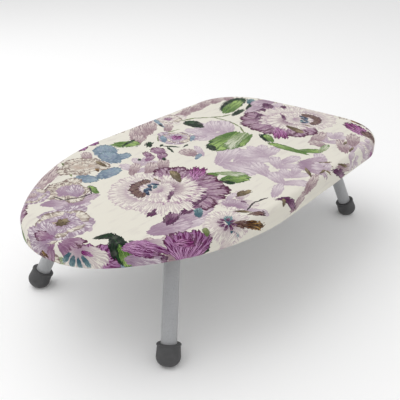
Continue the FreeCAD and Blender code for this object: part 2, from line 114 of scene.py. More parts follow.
def add_area_light(name, place, aim, width, power):
    """A square lamp of a width in metres and a power in watts."""
    data = bpy.data.lights.new(name, "AREA")
    data.shape = "SQUARE"
    data.size = width
    data.energy = power
    light = bpy.data.objects.new(name, data)
    light.location = place
    direction = Vector(aim) - Vector(place)
    light.rotation_euler = direction.to_track_quat("-Z", "Y").to_euler()
    bpy.context.scene.collection.objects.link(light)


def add_stage():
    """A pale floor under an even sky, a large lamp above and behind, and a faint one in front."""
    bpy.context.scene.view_settings.view_transform = "Standard"
    world = bpy.data.worlds.new("studio")
    bpy.context.scene.world = world
    world.use_nodes = True
    sky = world.node_tree.nodes["Background"].inputs
    sky["Color"].default_value = (1.0, 1.0, 1.0, 1.0)
    sky["Strength"].default_value = 0.73
    middle = (0.0, 0.0, 0.12)
    add_area_light("key", place=(-0.4, 1.0, 2.1), aim=middle, width=2.4, power=26.0)
    add_area_light("fill", place=(-0.9, -1.4, 1.6), aim=middle, width=1.0, power=0.8)
    mesh = bpy.data.meshes.new("floor")
    reach = 6.0
    mesh.from_pydata([(-reach, -reach, 0), (reach, -reach, 0), (reach, reach, 0), (-reach, reach, 0)],
                     [], [(0, 1, 2, 3)])
    floor = bpy.data.objects.new("floor", mesh)
    bpy.context.scene.collection.objects.link(floor)
    material = bpy.data.materials.new("floor_white")
    material.use_nodes = True
    shader = material.node_tree.nodes["Principled BSDF"]
    shader.inputs["Base Color"].default_value = (0.97, 0.97, 0.97, 1.0)
    shader.inputs["Roughness"].default_value = 0.9
    mesh.materials.append(material)


# ---------------------------------------------------------------------- node helpers

class Nodes:
    """Adds shader nodes to a tree; plain values set sockets and sockets are linked."""

    def __init__(self, tree):
        self.tree = tree

    def put(self, socket, value):
        if isinstance(value, bpy.types.NodeSocket):
            self.tree.links.new(value, socket)
        elif value is not None:
            socket.default_value = value

    def add(self, kind, *values, **settings):
        node = self.tree.nodes.new("ShaderNode" + kind)
        for name, value in settings.items():
            setattr(node, name, value)
        for socket, value in zip(node.inputs, values):
            self.put(socket, value)
        return node

    def math(self, operation, *values, clamp=False):
        return self.add("Math", *values, operation=operation, use_clamp=clamp).outputs[0]

    def times(self, first, second):
        return self.math("MULTIPLY", first, second)

    def vector(self, operation, *values):
        return self.add("VectorMath", *values, operation=operation).outputs["Vector"]

    def attribute(self, name):
        return self.add("Attribute", attribute_name=name).outputs["Vector"]

    def place(self):
        """The place in the part, in millimetres."""
        return self.vector("MULTIPLY", self.add("TexCoord").outputs["Object"], (1000.0, 1000.0, 1000.0))

    def split(self, value):
        return self.add("SeparateXYZ", value).outputs[:3]

    def join(self, x, y, z):
        return self.add("CombineXYZ", x, y, z).outputs[0]

    def step(self, value, low, high):
        """0 below low, 1 above high, smooth between."""
        return self.add("MapRange", value, low, high, 0.0, 1.0, interpolation_type="SMOOTHSTEP").outputs[0]

    def mix(self, factor, first, second):
        """Blend two colours."""
        node = self.add("Mix", data_type="RGBA")
        self.put(node.inputs["Factor"], factor)
        self.put(node.inputs[6], first)
        self.put(node.inputs[7], second)
        return node.outputs[2]

    def mix_value(self, factor, first, second):
        """Blend two numbers."""
        node = self.add("Mix", data_type="FLOAT")
        self.put(node.inputs["Factor"], factor)
        self.put(node.inputs[2], first)
        self.put(node.inputs[3], second)
        return node.outputs[0]

    def noise(self, place, scale, detail=2.0, output=0):
        """A noise pattern; a scale of three numbers stretches it."""
        if isinstance(scale, tuple):
            place = self.vector("MULTIPLY", place, scale)
            scale = 1.0
        node = self.add("TexNoise")
        self.put(node.inputs["Vector"], place)
        self.put(node.inputs["Scale"], scale)
        self.put(node.inputs["Detail"], detail)
        return node.outputs[output]

    def cells(self, place, scale, **settings):
        """The outputs of a cell pattern, such as the distance to a cell's middle."""
        node = self.add("TexVoronoi", **settings)
        self.put(node.inputs["Vector"], place)
        self.put(node.inputs["Scale"], scale)
        return node.outputs

    def table(self, index, colours):
        """Pick one of a list of colours (and alphas) by an index from 0 to 1."""
        node = self.add("ValToRGB", index)
        ramp = node.color_ramp
        ramp.interpolation = "CONSTANT"
        count = len(colours)
        for number, colour in enumerate(colours):
            stop = ramp.elements[0] if number == 0 else ramp.elements.new(number / count)
            stop.color = colour
        ramp.elements.remove(ramp.elements[-1])
        return node.outputs


def new_material(name, metallic=0.0):
    """A material, its nodes and its shader's inputs."""
    material = bpy.data.materials.new(name)
    material.use_nodes = True
    inputs = material.node_tree.nodes["Principled BSDF"].inputs
    inputs["Metallic"].default_value = metallic
    return material, Nodes(material.node_tree), inputs


def coat(nodes, inputs, colour, roughness, height, strength, depth):
    """Give a shader its colour and roughness, and raise it by a height times a depth in metres."""
    nodes.put(inputs["Base Color"], colour)
    nodes.put(inputs["Roughness"], roughness)
    bump = nodes.add("Bump")
    nodes.put(bump.inputs["Strength"], strength)
    nodes.put(bump.inputs["Distance"], depth)
    nodes.put(bump.inputs["Height"], height)
    nodes.put(inputs["Normal"], bump.outputs[0])


def rgb(*levels):
    """A colour given as levels from 0 to 255 on a screen, as a shader wants it."""
    shares = [level / 255 for level in levels]
    linear = [share / 12.92 if share <= 0.04045 else ((share + 0.055) / 1.055) ** 2.4 for share in shares]
    return (*linear, 1.0)


# ------------------------------------------------------------------------- the print
#
# The print is laid out in millimetres on the cloth: x from the nose to the tail and
# y across, with the middle of the board at (0, 0). Every motif is made of petals: an
# egg shape with a toothed edge, its own local coordinates and a kind, and each new
# petal covers the ones before it. One painter then colours whichever petal is on top.

# Of each kind: base, tip, streak and rim colours, and its amounts of streaks, rim, veins and fade.
KINDS = {
    "ground": ((224, 220, 208), (224, 220, 208), (200, 194, 184), (224, 220, 208), (0.5, 0.0, 0.0, 0.5)),
    "ghost": ((182, 162, 176), (214, 203, 206), (158, 136, 154), (176, 156, 172), (0.7, 0.6, 0.9, 0.45)),
    "stem": ((108, 122, 74), (142, 152, 104), (70, 78, 48), (92, 102, 60), (0.7, 0.6, 0.0, 0.5)),
    "leaf": ((80, 118, 42), (156, 184, 104), (26, 66, 24), (20, 56, 26), (0.8, 0.8, 1.0, 0.5)),
    "dark_leaf": ((1, 24, 10), (34, 82, 34), (0, 10, 4), (1, 16, 10), (0.9, 0.9, 0.9, 0.7)),
    "pale_leaf": ((146, 160, 114), (202, 205, 184), (84, 116, 54), (78, 110, 46), (0.9, 0.9, 1.0, 0.4)),
    "blue": ((90, 116, 128), (142, 164, 174), (112, 116, 150), (70, 98, 108), (0.7, 0.6, 0.0, 0.5)),
    "teal": ((62, 100, 112), (154, 184, 184), (34, 62, 80), (96, 136, 140), (0.8, 0.4, 0.0, 0.6)),
    "slate": ((36, 52, 84), (116, 140, 166), (14, 24, 48), (44, 62, 92), (0.9, 0.7, 0.0, 0.6)),
    "white": ((164, 138, 156), (228, 223, 212), (150, 118, 140), (176, 148, 166), (0.45, 0.6, 0.0, 0.3)),
    "stained": ((98, 30, 86), (229, 224, 213), (124, 56, 112), (150, 104, 142), (0.55, 0.7, 0.0, 0.3)),
    "cream": ((192, 172, 158), (222, 216, 203), (130, 104, 90), (104, 78, 76), (0.6, 0.7, 0.0, 0.4)),
    "mauve": ((150, 114, 142), (186, 164, 174), (116, 66, 106), (76, 4, 54), (0.8, 1.0, 0.0, 0.5)),
    "orchid": ((194, 146, 188), (146, 98, 142), (96, 26, 82), (76, 6, 58), (1.0, 0.9, 0.0, 0.6)),
    "faded": ((160, 134, 154), (202, 186, 194), (136, 106, 130), (146, 118, 142), (0.7, 0.5, 0.0, 0.5)),
    "plum": ((98, 46, 88), (152, 116, 142), (66, 16, 58), (58, 8, 48), (1.0, 0.9, 0.0, 0.6)),
    "curl": ((208, 152, 198), (146, 58, 128), (78, 4, 62), (72, 4, 58), (1.0, 0.9, 0.0, 0.5)),
    "arc": ((136, 112, 98), (98, 30, 68), (58, 4, 38), (50, 2, 34), (1.0, 1.0, 0.0, 0.75)),
    "olive": ((94, 78, 54), (152, 136, 104), (66, 50, 32), (98, 82, 58), (0.9, 0.5, 0.0, 0.5)),
    "lilac": ((164, 140, 160), (214, 204, 208), (130, 100, 128), (150, 126, 146), (0.8, 0.6, 0.0, 0.4)),
    "pink": ((166, 142, 146), (208, 195, 190), (124, 94, 108), (152, 128, 134), (0.8, 0.6, 0.0, 0.5)),
    "ink": ((34, 30, 36), (76, 60, 68), (18, 14, 20), (44, 34, 42), (0.6, 0.6, 0.0, 0.5)),
    "amber": ((98, 52, 16), (196, 152, 80), (40, 20, 14), (76, 42, 20), (1.0, 0.7, 0.0, 0.5)),
}
KIND_NAMES = list(KINDS)
RAGGED = {"teeth": 0.3, "count": 3}
PLAIN_FRAME = (0.0, 0.0, 0.0, 1.0)


class Print:
    """Collects petals in painting order.

    A petal has a kind, a middle, a turn in degrees, a half length and a half width. Its frame is the
    place, heading and scale of the motif that it belongs to.
    """

    def __init__(self):
        self.petals = []
        self.frame = PLAIN_FRAME

    def petal(self, kind, x, y, turn, length, width, taper=0.25, teeth=0.08, count=6.0):
        origin_x, origin_y, heading, scale = self.frame
        angle = math.radians(heading)
        place = (origin_x + scale * (x * math.cos(angle) - y * math.sin(angle)),
                 origin_y + scale * (x * math.sin(angle) + y * math.cos(angle)))
        self.petals.append((KIND_NAMES.index(kind), place, turn + heading, length * scale,
                            width * scale, (taper, teeth, count)))

    def fan(self, kind, x, y, turns, near, far, width, **shape):
        """Petals that spread from a hub, from a near to a far distance."""
        for turn in turns:
            angle = math.radians(turn)
            middle = (near + far) / 2
            self.petal(kind, x + middle * math.cos(angle), y + middle * math.sin(angle), turn,
                       (far - near) / 2, width, **shape)

    def line(self, kind, points, width):
        """Thin overlapping petals along a bent line, such as a stalk."""
        for (x0, y0), (x1, y1) in zip(points, points[1:]):
            turn = math.degrees(math.atan2(y1 - y0, x1 - x0))
            reach = math.hypot(x1 - x0, y1 - y0) / 2 + width
            self.petal(kind, (x0 + x1) / 2, (y0 + y1) / 2, turn, reach, width, taper=0.0, teeth=0.0)

    def peony(self, x, y, heading, scale):
        """The big bloom: a mauve fan on one side, toothed white petals, a dark arc, blue stamens."""
        self.frame = (x, y, heading, scale)
        self.petal("faded", -30, -88, -7, 46, 15, teeth=0.08)
        self.petal("faded", -62, -90, -20, 30, 17, teeth=0.08)
        self.fan("white", -8, -8, range(50, 250, 20), 22, 58, 13, teeth=0.16, count=4)
        self.fan("mauve", 18, -30, (58, 38, -80, -100, -56), 8, 74, 17, taper=0.45, teeth=0.12, count=5)
        self.fan("mauve", 18, -30, (18, -12, -34), 8, 68, 19, taper=0.45, teeth=0.14, count=5)
        self.fan("curl", 46, -34, (20, 34), 6, 56, 8, taper=0.4, **RAGGED)
        for dx, dy, turn, length, width in (
                (-46, -50, 10, 17, 8), (-46, -78, 30, 19, 11), (-14, -80, 0, 20, 9), (16, -72, 16, 26, 8),
                (36, -54, 60, 18, 8)):
            self.petal("plum", dx, dy, turn, length, width, **RAGGED)
        self.fan("white", 8, -20, (-178, -160, -143, -126, -108), 8, 74, 9, **RAGGED)
        self.fan("white", 12, -20, (-90, -72, -54), 6, 56, 10, teeth=0.28, count=3)
        self.fan("stained", 12, -20, (-170, -146, -121, -97, -72, -48, -24, 0, 24, 46), 0, 47, 11,
                 taper=0.4, teeth=0.24, count=3)
        self.fan("white", 2, -8, range(50, 230, 24), 8, 42, 11, teeth=0.22, count=3)
        self.fan("white", 2, -10, (-14, -54, -94, -134, -170), 0, 25, 10, taper=0.4, teeth=0.26, count=3)
        self.petal("plum", 0, -36, 28, 15, 4, **RAGGED)
        self.petal("olive", 47, -4, 58, 21, 7, teeth=0.12, count=3)
        self.petal("amber", 22, 8, 80, 9, 2, **RAGGED)
        self.fan("arc", -2, -4, (184, 160, 136, 112, 88, 64), 12, 32, 8, taper=0.35, teeth=0.3, count=4)
        self.petal("white", -2, -4, 100, 18, 15, teeth=0.15)
        for dx, dy, turn in ((-15, -9, 60), (-6, -3, 70), (2, 3, 55), (10, 1, 110), (-11, -1, 30)):
            self.petal("slate", dx, dy, turn, 7.5, 3.4, teeth=0.25, count=3)
        self.petal("teal", 4, -4, 20, 6, 3, teeth=0.2)
        self.frame = PLAIN_FRAME

    def spray(self, kind, x, y, heading, reach, width, bend=0.0, lobes=3):
        """A lobed leaf: pairs of petals along a bending rib, and one at its end."""
        heading = math.radians(heading)
        for number in range(lobes):
            share = number / lobes
            size = width * (1.0 - 0.45 * share)
            for side in (-1, 1):
                turn = heading + side * math.radians(52 - 18 * share)
                self.petal(kind, x + size * 0.7 * math.cos(turn), y + size * 0.7 * math.sin(turn),
                           math.degrees(turn), size, 0.42 * size, taper=0.35, teeth=0.14, count=3)
            x += reach / lobes * math.cos(heading)
            y += reach / lobes * math.sin(heading)
            heading += math.radians(bend) / lobes
        self.petal(kind, x, y, math.degrees(heading), 0.7 * width, 0.34 * width, taper=0.2, teeth=0.14,
                   count=3)

    def rose(self, x, y, radius, heart, rim="lilac", heart_size=0.34, lean=0.0):
        """A round bloom of uneven overlapping petals with a coloured heart."""
        for ring, (kind, reach, count) in enumerate(((rim, 1.0, 5), ("cream", 0.74, 5), (rim, 0.5, 4))):
            for number in range(count):
                wobble = math.sin(2.4 * number + 1.3 * ring + lean)
                turn = lean + 37 * ring + (number + 0.25 * wobble) * 360 / count
                far = reach * radius * (1 + 0.16 * wobble)
                width = radius * (0.44 - 0.08 * wobble)
                self.fan(kind, x, y, (turn,), 0.1 * radius, far, width, taper=0.5, teeth=0.1, count=2)
        self.petal(heart, x, y, lean, heart_size * radius, heart_size * 0.8 * radius, **RAGGED)


def print_round_the_edge(cloth):
    """Blooms and leaves where the cover turns down, at the nose, the far side and the tail."""
    blooms = (("mauve", "olive", "leaf"), ("cream", "amber", "pale_leaf"), ("orchid", "slate", "blue"),
              ("pink", "plum", "dark_leaf"), ("white", "curl", "leaf"))
    points, normals, _ = plan_points(EDGE_BLOOMS)
    places = (points + normals * (EDGE_BLOOM_RUN - TOP_EDGE_RADIUS)) * 1000
    for number, ((x, y), (out_x, out_y)) in enumerate(zip(places, normals)):
        if y < -150 and x < 200:
            continue  # the near side has its own motifs
        kind, heart, leaf = blooms[number % len(blooms)]
        out = math.degrees(math.atan2(out_y, out_x))
        away = 30 if number % 2 else -32
        first = int(out) + away
        cloth.petal(leaf, x - 38 * out_y, y + 38 * out_x, out + 90 + away, 27, 11, teeth=0.12)
        cloth.fan(kind, x, y, range(first, first + 360, 60), 3, 34 + away / 8, 12, teeth=0.18, count=3)
        cloth.petal(heart, x, y, out + 50, 9, 6, **RAGGED)


def lay_out_print():
    """The petals of the whole print, from the ones behind to the ones in front."""
    cloth = Print()
    petal = cloth.petal
    print_round_the_edge(cloth)

    # Faded shadow leaves, behind everything.
    for x, y, heading, reach, width, bend in (
            (-4, -34, -36, 54, 40, -16), (56, -74, 60, 30, 26, 20), (2, -112, 6, 66, 30, -16),
            (-8, -142, 4, 50, 24, 16), (96, 26, 96, 50, 40, -24), (-236, 56, -40, 36, 26, 30),
            (166, -116, -8, 40, 22, 20), (262, 30, 84, 20, 20, 10), (-104, 38, 30, 46, 22, -20)):
        cloth.spray("ghost", x, y, heading, reach, width, bend, lobes=2)
    for x, y, turn, length, width in (
            (-166, -114, -14, 30, 12), (100, -142, 40, 26, 9), (66, 60, 70, 20, 10),
            (-250, -26, 70, 14, 6), (176, -158, 20, 30, 8), (-30, -148, 20, 24, 8)):
        petal("ghost", x, y, turn, length, width, teeth=0.12)
    for x, y, turn, length, width in (
            (-4, 134, 44, 44, 16), (14, 142, 46, 40, 15), (36, 146, 46, 36, 14), (-16, 122, 40, 26, 11),
            (56, 122, 40, 22, 10), (118, 146, 14, 30, 13), (142, 152, 22, 30, 12), (170, 150, 16, 30, 13),
            (198, 154, 24, 28, 11), (228, 150, 20, 26, 12), (254, 142, 34, 24, 11), (-196, 118, 30, 40, 12),
            (-222, 106, 34, 30, 11), (-84, 30, 35, 26, 10), (-62, 26, 42, 26, 10), (-100, 46, 34, 24, 9),
            (172, -98, 10, 34, 12), (166, -146, 34, 32, 11), (200, -146, 26, 32, 12),
            (150, -112, 70, 20, 11), (-186, -30, 100, 16, 5), (20, -172, 16, 34, 7),
            (-20, -184, 20, 24, 7), (118, -182, -20, 30, 7)):
        petal("pink", x, y, turn, length, width, teeth=0.22, count=4)

    # Stalks.
    cloth.line("stem", ((98, 126), (122, 118), (140, 100), (160, 84), (176, 80)), 2.2)
    cloth.line("stem", ((146, 98), (146, 60), (136, 30), (118, 8)), 1.6)
    cloth.line("stem", ((-152, 142), (-160, 120), (-172, 98)), 2.2)
    cloth.line("stem", ((0, 92), (14, 106), (34, 110), (62, 102)), 1.4)
    cloth.line("plum", ((-250, 80), (-232, 85), (-208, 98)), 1.4)

    # Leaves.
    petal("leaf", 70, 10, 190, 50, 23, taper=0.15, teeth=0.1, count=8)
    petal("pale_leaf", 82, -4, 194, 42, 16, taper=0.1, teeth=0.1, count=6)
    petal("leaf", 92, -14, 196, 32, 6)
    petal("dark_leaf", 32, 10, 60, 15, 8, teeth=0.3, count=4)
    petal("dark_leaf", 97, 98, 80, 23, 14, teeth=0.12, count=6)
    petal("dark_leaf", 228, 112, 10, 50, 20, taper=0.2, teeth=0.2, count=7)
    petal("leaf", 216, 103, 15, 46, 15, taper=0.1, teeth=0.12, count=7)
    petal("teal", 262, 94, 30, 20, 9, teeth=0.3, count=4)
    petal("dark_leaf", 194, 76, 10, 26, 8, teeth=0.3, count=5)
    petal("dark_leaf", 236, 80, 18, 22, 5, teeth=0.3, count=4)
    petal("leaf", -42, 124, -44, 26, 15, teeth=0.25, count=4)
    petal("dark_leaf", -36, 124, 10, 18, 3.5)
    petal("dark_leaf", -20, 93, 30, 13, 8, teeth=0.4, count=3)
    petal("leaf", -46, -52, 160, 13, 9, teeth=0.2)
    petal("leaf", -36, -84, -30, 24, 15, teeth=0.15)
    petal("dark_leaf", -52, -82, -75, 13, 5)
    petal("pale_leaf", -26, -70, -60, 22, 8)
    petal("dark_leaf", -70, -96, 20, 8, 4, **RAGGED)
    petal("dark_leaf", -253, -58, -30, 13, 6, teeth=0.2)
    petal("dark_leaf", -254, -84, -113, 29, 12, teeth=0.18)
    petal("leaf", -260, -98, -113, 18, 6, teeth=0.14)
    petal("dark_leaf", -243, -100, -104, 15, 6, teeth=0.2)
    petal("leaf", -252, -112, -100, 20, 8, teeth=0.14)
    petal("leaf", -180, 42, 72, 15, 5)
    petal("dark_leaf", 120, -32, 52, 22, 9, teeth=0.3, count=4)
    petal("leaf", 122, -38, 52, 18, 7)
    petal("leaf", 104, -84, 88, 40, 8, teeth=0.1)
    petal("leaf", 116, -114, -58, 22, 9)
    petal("pale_leaf", 138, -127, 6, 20, 6)

    # Blue clusters.
    for x, y, turn, length, width in ((-80, 128, 60, 28, 20), (-92, 104, 70, 28, 17), (-78, 92, 0, 15, 11),
                                      (-165, 74, -65, 19, 13), (-132, 64, 8, 24, 14)):
        petal("blue", x, y, turn, length, width, taper=0.0, teeth=0.16, count=5)
    petal("pink", -112, 134, 60, 20, 9, teeth=0.2)

    # Roses and small blooms.
    cloth.rose(-140, 110, 36, "cream", rim="cream", lean=10)
    petal("amber", -136, 84, 60, 7, 3)
    petal("olive", -118, 96, 80, 14, 4)
    petal("faded", -236, 50, -30, 20, 11, teeth=0.1)
    petal("faded", -208, 30, -4, 26, 10, teeth=0.12)
    cloth.rose(-204, 66, 34, "faded", rim="cream", heart_size=0.6, lean=20)
    petal("lilac", -198, 58, 60, 20, 12, teeth=0.1)
    cloth.line("ink", ((-226, 66), (-224, 48), (-208, 38), (-190, 35), (-178, 52)), 1.2)
    cloth.rose(-242, 90, 26, "pink", rim="lilac", lean=40)
    cloth.rose(-262, 4, 42, "olive", rim="lilac", heart_size=0.26, lean=15)
    cloth.rose(30, 80, 32, "curl", rim="lilac", heart_size=0.38, lean=5)
    petal("blue", 12, 92, 50, 16, 5)
    petal("blue", 44, 58, 30, 14, 4)
    for x, y, turn, length, width in ((-30, 64, 70, 18, 12), (-50, 68, 60, 14, 7), (-58, 56, 20, 14, 7),
                                      (-40, 48, 30, 14, 8)):
        petal("mauve", x, y, turn, length, width, teeth=0.2, count=4)
    for x, y, turn, length, width in ((-72, 64, 40, 5, 3), (-46, 38, 60, 7, 3.5), (-4, 62, -62, 16, 3),
                                      (-14, 54, 64, 14, 2.6), (12, 46, 10, 9, 2.4), (-10, 76, 20, 7, 3)):
        petal("dark_leaf", x, y, turn, length, width, **RAGGED)
    petal("pink", -6, 24, 80, 18, 13, teeth=0.14)
    petal("ghost", 10, 16, 56, 22, 6)
    petal("blue", -8, 4, 20, 12, 4)
    cloth.rose(88, 150, 30, "mauve", rim="white", heart_size=0.3, lean=30)
    petal("blue", 62, 148, 64, 24, 4)
    petal("ink", 56, 138, 60, 7, 3)

    # Big blooms.
    cloth.peony(-128, -12, 0, 1.0)
    cloth.peony(234, -40, 195, 1.08)

    # Purple streaked bloom that wraps the nose.
    cloth.fan("lilac", -292, -22, (120, 95, 70, 150), 6, 52, 11, teeth=0.2)
    cloth.fan("mauve", -290, -22, (-60, -85, -110, 100, 175), 4, 36, 8, teeth=0.25, count=3)
    cloth.fan("white", -284, -52, (180, 205, 230, 255, 280), 0, 40, 11, teeth=0.2)
    cloth.fan("teal", -284, -50, (160, 185, 212, 240), 10, 30, 4, teeth=0.2)
    petal("arc", -322, -6, 60, 9, 5, teeth=0.3)
    petal("amber", -316, -10, 70, 7, 3)
    petal("curl", -284, -64, 110, 8, 3)

    # Mauve petals on the near edge, by the nose.
    petal("lilac", -248, -118, -52, 24, 12, teeth=0.15)
    petal("orchid", -240, -106, -54, 26, 10, teeth=0.2, count=4)
    petal("orchid", -228, -112, -60, 28, 8, teeth=0.2, count=4)
    petal("white", -214, -122, -58, 28, 6, teeth=0.2)
    cloth.fan("orchid", -216, -160, (18, 38, 58, 78), 4, 52, 12, taper=0.4, teeth=0.2, count=4)
    petal("curl", -200, -134, -40, 16, 6, **RAGGED)

    # Cream and teal cluster further along the near edge.
    cloth.fan("white", -140, -148, (20, 60, 100, 140, 180, 220, 260, 300, 340), 2, 32, 11, teeth=0.25)
    petal("teal", -142, -106, 42, 14, 6, teeth=0.2)
    petal("teal", -134, -146, 40, 14, 6, teeth=0.3)
    petal("stem", -170, -140, 50, 7, 4)
    petal("arc", -128, -160, -30, 16, 6, teeth=0.3)
    petal("amber", -112, -172, -34, 22, 7, **RAGGED)
    petal("teal", -142, -166, -60, 8, 3)
    petal("white", -156, -172, 20, 20, 8, teeth=0.2)
    cloth.fan("white", -84, -124, (150, 185, 215, 245, 275, 20), 0, 30, 10, teeth=0.2)
    petal("olive", -66, -118, -16, 17, 7, **RAGGED)
    petal("ghost", -84, -112, 10, 14, 5)
    petal("olive", -104, -146, -50, 14, 4, teeth=0.3)
    petal("ghost", -92, -158, -64, 18, 5)
    cloth.fan("plum", -84, -124, (165, 200, 232, 262), 2, 15, 3, **RAGGED)
    cloth.fan("plum", -140, -148, (30, 75, 120, 165, 210, 255, 300, 345), 3, 13, 2.6, **RAGGED)
    cloth.fan("faded", -108, -132, (-20, 20, 60), 4, 26, 8, teeth=0.25, count=4)
    petal("arc", -98, -162, -34, 14, 5, **RAGGED)
    cloth.line("ink", ((-98, -148), (-76, -143), (-56, -150)), 1.4)

    # Faded brown and lilac petals low on the near side.
    cloth.fan("faded", 50, -116, (-28, -46, -64, -82), 12, 66, 9, teeth=0.28, count=4)
    cloth.fan("olive", 56, -124, (-40, -56, -74), 26, 58, 2.6, **RAGGED)
    petal("plum", -40, -174, -48, 22, 8, **RAGGED)
    petal("plum", 98, -184, -30, 26, 7, **RAGGED)
    for x, y, heading, reach, width in ((70, -166, 60, 20, 12), (136, -174, -36, 26, 12),
                                        (180, -184, 30, 36, 14)):
        cloth.spray("ghost", x, y, heading, reach, width, lobes=2)
    for x, y, turn, length, width in (
            (46, -152, 46, 18, 3), (-50, -172, 40, 8, 3), (60, -166, 0, 10, 2.4),
            (162, -162, 12, 12, 2.6), (180, -142, 4, 9, 3), (112, -176, -30, 14, 2.4)):
        petal("olive", x, y, turn, length, width, teeth=0.2)

    # Deep magenta petals that wrap the tail's near corner.
    petal("curl", 248, -132, 56, 42, 15, teeth=0.25, count=4)
    petal("arc", 236, -158, 52, 26, 10, **RAGGED)
    petal("amber", 280, -116, 66, 16, 4)
    return cloth.petals


PETAL_OUTPUTS = ("Along", "Across", "Edge", "Kind")
UNDER = tuple(f"Under {name}" for name in PETAL_OUTPUTS)
PETAL_INPUTS = ("X", "Y", "Along X", "Along Y", "Along 0", "Across X", "Across Y", "Across 0", "Taper",
                "Teeth", "Count", "Jitter", "Kind", *UNDER)
SPRAY_INPUTS = ("X", "Y", "Jitter", *UNDER)
SPRAY_SIZE = 20


def new_group(name, inputs):
    """A node group of plain numbers that gives what petals give; returns it and its two ends."""
    group = bpy.data.node_groups.new(name, "ShaderNodeTree")
    for way, labels in (("INPUT", inputs), ("OUTPUT", PETAL_OUTPUTS)):
        for label in labels:
            group.interface.new_socket(label, in_out=way, socket_type="NodeSocketFloat")
    given = group.nodes.new("NodeGroupInput").outputs
    result = group.nodes.new("NodeGroupOutput").inputs
    return group, given, result


def petal_group():
    """A node group that lays one petal over what is already there.

    It works in single numbers: a long chain of vector conversions is too much for the renderer.
    """
    group, given, result = new_group("petal", PETAL_INPUTS)
    nodes = Nodes(group)
    along = nodes.math("MULTIPLY_ADD", given["X"], given["Along X"],
                       nodes.math("MULTIPLY_ADD", given["Y"], given["Along Y"], given["Along 0"]))
    across = nodes.math("MULTIPLY_ADD", given["X"], given["Across X"],
                        nodes.math("MULTIPLY_ADD", given["Y"], given["Across Y"], given["Across 0"]))
    side = nodes.math("DIVIDE", across, nodes.math("MULTIPLY_ADD", along, given["Taper"], 1.0))
    squares = nodes.math("MULTIPLY_ADD", along, along, nodes.times(side, side))
    saw = nodes.math("PINGPONG", nodes.math("MULTIPLY_ADD", side, given["Count"], given["Jitter"]), 1.0)
    edge = nodes.math("MULTIPLY_ADD", saw, given["Teeth"], nodes.math("SQRT", squares))
    inside = nodes.math("LESS_THAN", edge, 1.0)
    for name, below, value in zip(PETAL_OUTPUTS, UNDER, (along, side, edge, given["Kind"])):
        nodes.put(result[name], nodes.mix_value(inside, given[below], value))
    return group


def petal_values(petal, x, y, jitter, under):
    """What one petal's node group is given."""
    kind, (place_x, place_y), turn, length, width, (taper, teeth, count) = petal
    cosine = math.cos(math.radians(turn))
    sine = math.sin(math.radians(turn))
    return {
        "X": x,
        "Y": y,
        "Along X": cosine / length,
        "Along Y": sine / length,
        "Along 0": -(place_x * cosine + place_y * sine) / length,
        "Across X": -sine / width,
        "Across Y": cosine / width,
        "Across 0": (place_x * sine - place_y * cosine) / width,
        "Taper": taper,
        "Teeth": teeth,
        "Count": count,
        "Jitter": jitter,
        "Kind": float(kind),
        **dict(zip(UNDER, under)),
    }


def spray_group(name, petals, one_petal):
    """A node group that lays several petals one over another."""
    group, given, result = new_group(name, SPRAY_INPUTS)
    nodes = Nodes(group)
    x, y, jitter, *under = given[:len(SPRAY_INPUTS)]
    for petal in petals:
        node = nodes.add("Group", node_tree=one_petal)
        for socket, value in petal_values(petal, x, y, jitter, under).items():
            nodes.put(node.inputs[socket], value)
        under = list(node.outputs)
    for socket, value in zip(PETAL_OUTPUTS, under):
        nodes.put(result[socket], value)
    return group


def add_petals(nodes, petals, x, y, jitter):
    """Lay all the petals, a spray at a time; returns along, across, edge and kind of the top one."""
    one_petal = petal_group()
    top = [0.0, 0.0, 0.0, 0.0]
    for first in range(0, len(petals), SPRAY_SIZE):
        spray = spray_group(f"spray_{first}", petals[first:first + SPRAY_SIZE], one_petal)
        node = nodes.add("Group", node_tree=spray)
        for socket, value in zip(SPRAY_INPUTS, (x, y, jitter, *top)):
            nodes.put(node.inputs[socket], value)
        top = list(node.outputs)
    return top


